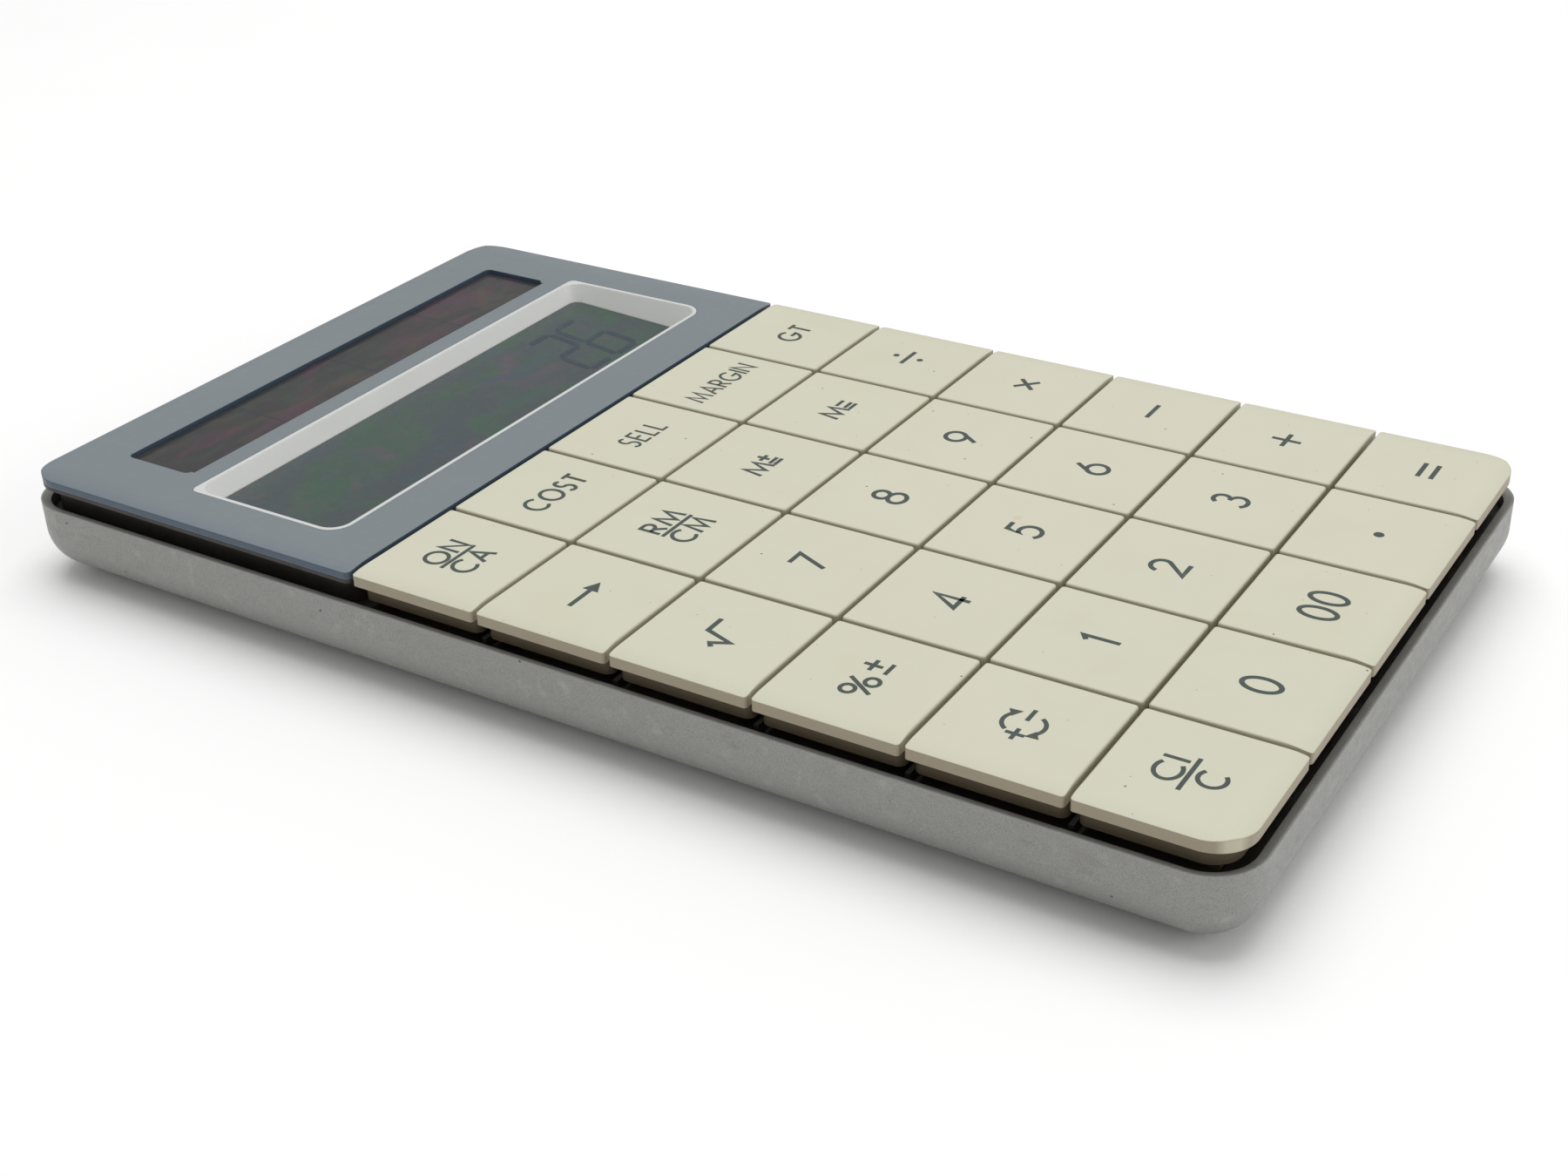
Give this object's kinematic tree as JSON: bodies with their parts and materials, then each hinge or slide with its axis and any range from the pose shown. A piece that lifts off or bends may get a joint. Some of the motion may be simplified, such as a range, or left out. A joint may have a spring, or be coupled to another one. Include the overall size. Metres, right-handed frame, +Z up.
{
  "type": "desk calculator",
  "caption": "Slim desk calculator: tile keys over a silver tray, with a blue-grey display cover holding a sunken display and a solar cell.",
  "frame": {"origin": "on the table under the middle of the tray, at the bottom of the feet", "axes": "+X to the user's right, +Y from the keys to the display, +Z up"},
  "size_m": [0.1116, 0.1928, 0.017],
  "materials": {
    "silver_case": "satin metallic silver-grey paint, fine grain",
    "black_plastic": "matte black moulding",
    "ivory_plastic": "satin ivory moulded plastic, lightly worn",
    "blue_grey_cover": "satin blue-grey plastic",
    "white_bezel": "satin white plastic",
    "lcd_film": "dark grey-green display film",
    "lcd_glass": "clear display glass",
    "lcd_backing": "matt reflective foil",
    "ribbon_film": "amber film with dark traces",
    "solar_cell": "dark amorphous cell behind glass",
    "red_wire": "red lead sleeve",
    "black_wire": "black lead sleeve",
    "circuit_board": "green solder mask",
    "chip_resin": "black potting resin",
    "capacitor_sleeve": "dark blue sleeve",
    "silicone_mat": "translucent grey silicone",
    "cell_steel": "brushed steel can",
    "spring_contact": "plated spring strip",
    "screw_steel": "zinc-plated steel",
    "foot_rubber": "black rubber"
  },
  "bodies": {
    "case": {"lower_case": "silver_case", "key_frame": "black_plastic", "display_housing": "black_plastic", "display_cover": "blue_grey_cover", "lcd_bezel": "white_bezel", "lcd_polarizer": "lcd_film", "lcd_glass": "lcd_glass", "lcd_reflector": "lcd_backing", "lcd_cradle": "black_plastic", "lcd_ribbon": "ribbon_film", "solar_cell": "solar_cell", "solar_leads": "red_wire", "main_board": "circuit_board", "controller_chip": "chip_resin", "capacitors": "capacitor_sleeve", "keypad_mat": "silicone_mat", "coin_cell": "cell_steel", "battery_contact_top": "spring_contact", "battery_contact_side": "spring_contact", "battery_leads": "black_wire", "case_screws": "screw_steel", "housing_screws": "screw_steel", "board_screws": "screw_steel", "rubber_feet": "foot_rubber"},
    "battery_cover": {"battery_cover": "silver_case", "battery_cover_screw": "screw_steel"},
    "key_clear": {"key_clear": "ivory_plastic"},
    "key_0": {"key_0": "ivory_plastic"},
    "key_00": {"key_00": "ivory_plastic"},
    "key_point": {"key_point": "ivory_plastic"},
    "key_equals": {"key_equals": "ivory_plastic"},
    "key_sign_change": {"key_sign_change": "ivory_plastic"},
    "key_1": {"key_1": "ivory_plastic"},
    "key_2": {"key_2": "ivory_plastic"},
    "key_3": {"key_3": "ivory_plastic"},
    "key_plus": {"key_plus": "ivory_plastic"},
    "key_percent": {"key_percent": "ivory_plastic"},
    "key_4": {"key_4": "ivory_plastic"},
    "key_5": {"key_5": "ivory_plastic"},
    "key_6": {"key_6": "ivory_plastic"},
    "key_minus": {"key_minus": "ivory_plastic"},
    "key_square_root": {"key_square_root": "ivory_plastic"},
    "key_7": {"key_7": "ivory_plastic"},
    "key_8": {"key_8": "ivory_plastic"},
    "key_9": {"key_9": "ivory_plastic"},
    "key_multiply": {"key_multiply": "ivory_plastic"},
    "key_backspace": {"key_backspace": "ivory_plastic"},
    "key_memory_recall": {"key_memory_recall": "ivory_plastic"},
    "key_memory_plus": {"key_memory_plus": "ivory_plastic"},
    "key_memory_minus": {"key_memory_minus": "ivory_plastic"},
    "key_divide": {"key_divide": "ivory_plastic"},
    "key_on_clear_all": {"key_on_clear_all": "ivory_plastic"},
    "key_cost": {"key_cost": "ivory_plastic"},
    "key_sell": {"key_sell": "ivory_plastic"},
    "key_margin": {"key_margin": "ivory_plastic"},
    "key_grand_total": {"key_grand_total": "ivory_plastic"}
  },
  "joints": [
    {"name": "battery_cover_hinge", "type": "hinge", "parent": "case", "child": "battery_cover", "pos_m": [-0.037, 0.075, 0.0016], "axis": [0, 1, 0], "range_deg": [0, 80]},
    {"name": "press_clear", "type": "slide", "parent": "case", "child": "key_clear", "axis": [0, 0, -1], "range_m": [0, 0.0015], "stiffness_N_per_m": 350, "springref_m": -0.0006, "deforming": ["keypad_mat"]},
    {"name": "press_0", "type": "slide", "parent": "case", "child": "key_0", "axis": [0, 0, -1], "range_m": [0, 0.0015], "stiffness_N_per_m": 350, "springref_m": -0.0006, "deforming": ["keypad_mat"]},
    {"name": "press_00", "type": "slide", "parent": "case", "child": "key_00", "axis": [0, 0, -1], "range_m": [0, 0.0015], "stiffness_N_per_m": 350, "springref_m": -0.0006, "deforming": ["keypad_mat"]},
    {"name": "press_point", "type": "slide", "parent": "case", "child": "key_point", "axis": [0, 0, -1], "range_m": [0, 0.0015], "stiffness_N_per_m": 350, "springref_m": -0.0006, "deforming": ["keypad_mat"]},
    {"name": "press_equals", "type": "slide", "parent": "case", "child": "key_equals", "axis": [0, 0, -1], "range_m": [0, 0.0015], "stiffness_N_per_m": 350, "springref_m": -0.0006, "deforming": ["keypad_mat"]},
    {"name": "press_sign_change", "type": "slide", "parent": "case", "child": "key_sign_change", "axis": [0, 0, -1], "range_m": [0, 0.0015], "stiffness_N_per_m": 350, "springref_m": -0.0006, "deforming": ["keypad_mat"]},
    {"name": "press_1", "type": "slide", "parent": "case", "child": "key_1", "axis": [0, 0, -1], "range_m": [0, 0.0015], "stiffness_N_per_m": 350, "springref_m": -0.0006, "deforming": ["keypad_mat"]},
    {"name": "press_2", "type": "slide", "parent": "case", "child": "key_2", "axis": [0, 0, -1], "range_m": [0, 0.0015], "stiffness_N_per_m": 350, "springref_m": -0.0006, "deforming": ["keypad_mat"]},
    {"name": "press_3", "type": "slide", "parent": "case", "child": "key_3", "axis": [0, 0, -1], "range_m": [0, 0.0015], "stiffness_N_per_m": 350, "springref_m": -0.0006, "deforming": ["keypad_mat"]},
    {"name": "press_plus", "type": "slide", "parent": "case", "child": "key_plus", "axis": [0, 0, -1], "range_m": [0, 0.0015], "stiffness_N_per_m": 350, "springref_m": -0.0006, "deforming": ["keypad_mat"]},
    {"name": "press_percent", "type": "slide", "parent": "case", "child": "key_percent", "axis": [0, 0, -1], "range_m": [0, 0.0015], "stiffness_N_per_m": 350, "springref_m": -0.0006, "deforming": ["keypad_mat"]},
    {"name": "press_4", "type": "slide", "parent": "case", "child": "key_4", "axis": [0, 0, -1], "range_m": [0, 0.0015], "stiffness_N_per_m": 350, "springref_m": -0.0006, "deforming": ["keypad_mat"]},
    {"name": "press_5", "type": "slide", "parent": "case", "child": "key_5", "axis": [0, 0, -1], "range_m": [0, 0.0015], "stiffness_N_per_m": 350, "springref_m": -0.0006, "deforming": ["keypad_mat"]},
    {"name": "press_6", "type": "slide", "parent": "case", "child": "key_6", "axis": [0, 0, -1], "range_m": [0, 0.0015], "stiffness_N_per_m": 350, "springref_m": -0.0006, "deforming": ["keypad_mat"]},
    {"name": "press_minus", "type": "slide", "parent": "case", "child": "key_minus", "axis": [0, 0, -1], "range_m": [0, 0.0015], "stiffness_N_per_m": 350, "springref_m": -0.0006, "deforming": ["keypad_mat"]},
    {"name": "press_square_root", "type": "slide", "parent": "case", "child": "key_square_root", "axis": [0, 0, -1], "range_m": [0, 0.0015], "stiffness_N_per_m": 350, "springref_m": -0.0006, "deforming": ["keypad_mat"]},
    {"name": "press_7", "type": "slide", "parent": "case", "child": "key_7", "axis": [0, 0, -1], "range_m": [0, 0.0015], "stiffness_N_per_m": 350, "springref_m": -0.0006, "deforming": ["keypad_mat"]},
    {"name": "press_8", "type": "slide", "parent": "case", "child": "key_8", "axis": [0, 0, -1], "range_m": [0, 0.0015], "stiffness_N_per_m": 350, "springref_m": -0.0006, "deforming": ["keypad_mat"]},
    {"name": "press_9", "type": "slide", "parent": "case", "child": "key_9", "axis": [0, 0, -1], "range_m": [0, 0.0015], "stiffness_N_per_m": 350, "springref_m": -0.0006, "deforming": ["keypad_mat"]},
    {"name": "press_multiply", "type": "slide", "parent": "case", "child": "key_multiply", "axis": [0, 0, -1], "range_m": [0, 0.0015], "stiffness_N_per_m": 350, "springref_m": -0.0006, "deforming": ["keypad_mat"]},
    {"name": "press_backspace", "type": "slide", "parent": "case", "child": "key_backspace", "axis": [0, 0, -1], "range_m": [0, 0.0015], "stiffness_N_per_m": 350, "springref_m": -0.0006, "deforming": ["keypad_mat"]},
    {"name": "press_memory_recall", "type": "slide", "parent": "case", "child": "key_memory_recall", "axis": [0, 0, -1], "range_m": [0, 0.0015], "stiffness_N_per_m": 350, "springref_m": -0.0006, "deforming": ["keypad_mat"]},
    {"name": "press_memory_plus", "type": "slide", "parent": "case", "child": "key_memory_plus", "axis": [0, 0, -1], "range_m": [0, 0.0015], "stiffness_N_per_m": 350, "springref_m": -0.0006, "deforming": ["keypad_mat"]},
    {"name": "press_memory_minus", "type": "slide", "parent": "case", "child": "key_memory_minus", "axis": [0, 0, -1], "range_m": [0, 0.0015], "stiffness_N_per_m": 350, "springref_m": -0.0006, "deforming": ["keypad_mat"]},
    {"name": "press_divide", "type": "slide", "parent": "case", "child": "key_divide", "axis": [0, 0, -1], "range_m": [0, 0.0015], "stiffness_N_per_m": 350, "springref_m": -0.0006, "deforming": ["keypad_mat"]},
    {"name": "press_on_clear_all", "type": "slide", "parent": "case", "child": "key_on_clear_all", "axis": [0, 0, -1], "range_m": [0, 0.0015], "stiffness_N_per_m": 350, "springref_m": -0.0006, "deforming": ["keypad_mat"]},
    {"name": "press_cost", "type": "slide", "parent": "case", "child": "key_cost", "axis": [0, 0, -1], "range_m": [0, 0.0015], "stiffness_N_per_m": 350, "springref_m": -0.0006, "deforming": ["keypad_mat"]},
    {"name": "press_sell", "type": "slide", "parent": "case", "child": "key_sell", "axis": [0, 0, -1], "range_m": [0, 0.0015], "stiffness_N_per_m": 350, "springref_m": -0.0006, "deforming": ["keypad_mat"]},
    {"name": "press_margin", "type": "slide", "parent": "case", "child": "key_margin", "axis": [0, 0, -1], "range_m": [0, 0.0015], "stiffness_N_per_m": 350, "springref_m": -0.0006, "deforming": ["keypad_mat"]},
    {"name": "press_grand_total", "type": "slide", "parent": "case", "child": "key_grand_total", "axis": [0, 0, -1], "range_m": [0, 0.0015], "stiffness_N_per_m": 350, "springref_m": -0.0006, "deforming": ["keypad_mat"]}
  ]
}
